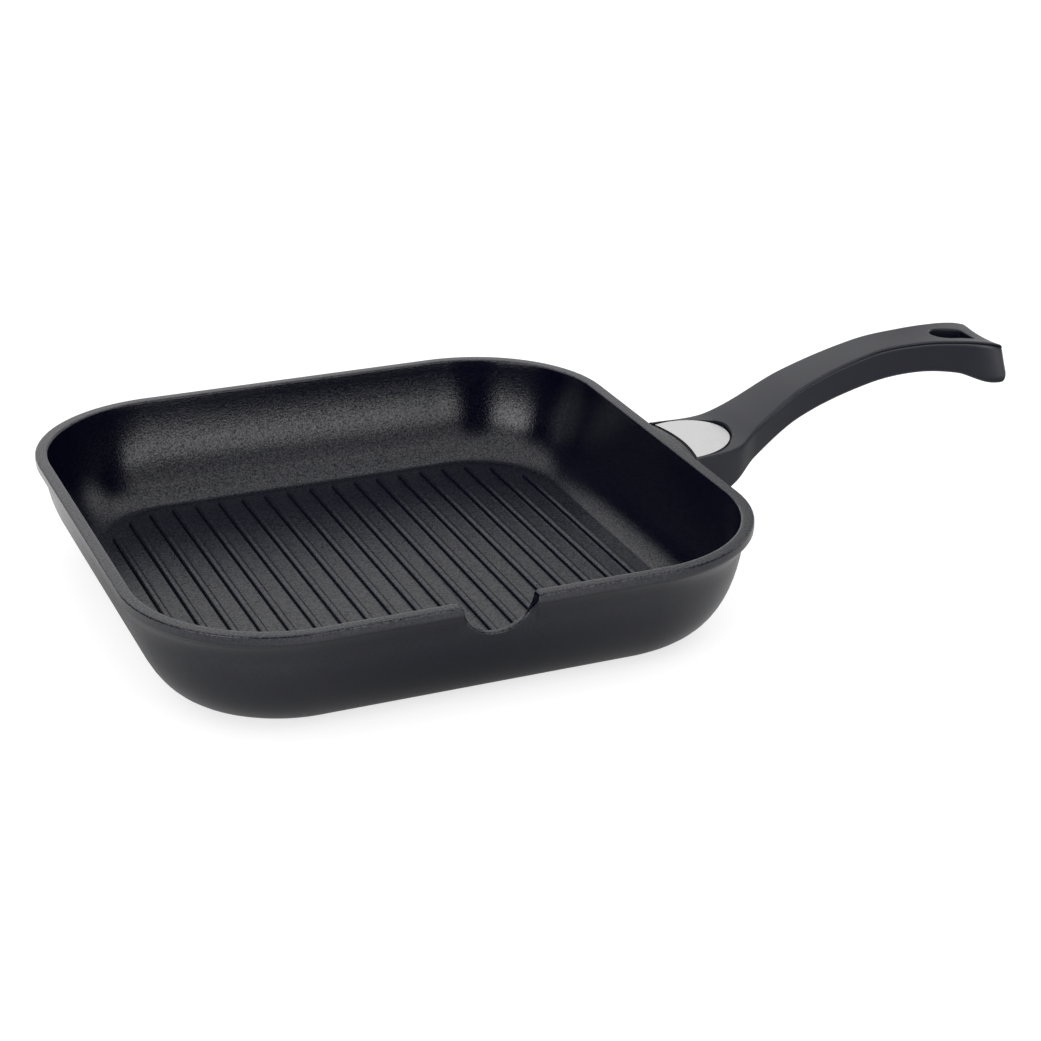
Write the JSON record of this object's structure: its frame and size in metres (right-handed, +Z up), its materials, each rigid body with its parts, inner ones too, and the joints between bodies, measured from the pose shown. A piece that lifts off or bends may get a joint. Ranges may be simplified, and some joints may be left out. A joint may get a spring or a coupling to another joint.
{
  "type": "grill pan",
  "caption": "Square cast aluminium grill pan with a ribbed floor, a pour notch in the front wall and a fixed moulded handle with a blank metal plate and a hanging slot.",
  "frame": {"origin": "middle of the flat base, on the face that the pan stands on", "axes": "+X along the handle, away from the pan; +Y away from the wall with the pour notch; +Z up, out of the pan's mouth"},
  "size_m": [0.4557, 0.28, 0.0836],
  "materials": {
    "coated_cast_aluminium": "dark grey matte non-stick coat with a fine sandy grain on cast aluminium",
    "phenolic": "dark grey moulded phenolic resin with a satin skin",
    "satin_plate": "pale satin metal with a bright bevelled edge, blank",
    "zinc_steel": "zinc plated steel"
  },
  "bodies": {
    "root": {"pan_body": "coated_cast_aluminium", "handle": "phenolic", "badge_plate": "satin_plate", "threaded_insert": "zinc_steel", "flat_washer": "zinc_steel", "spring_washer": "zinc_steel", "handle_screw": "zinc_steel"}
  },
  "joints": []
}
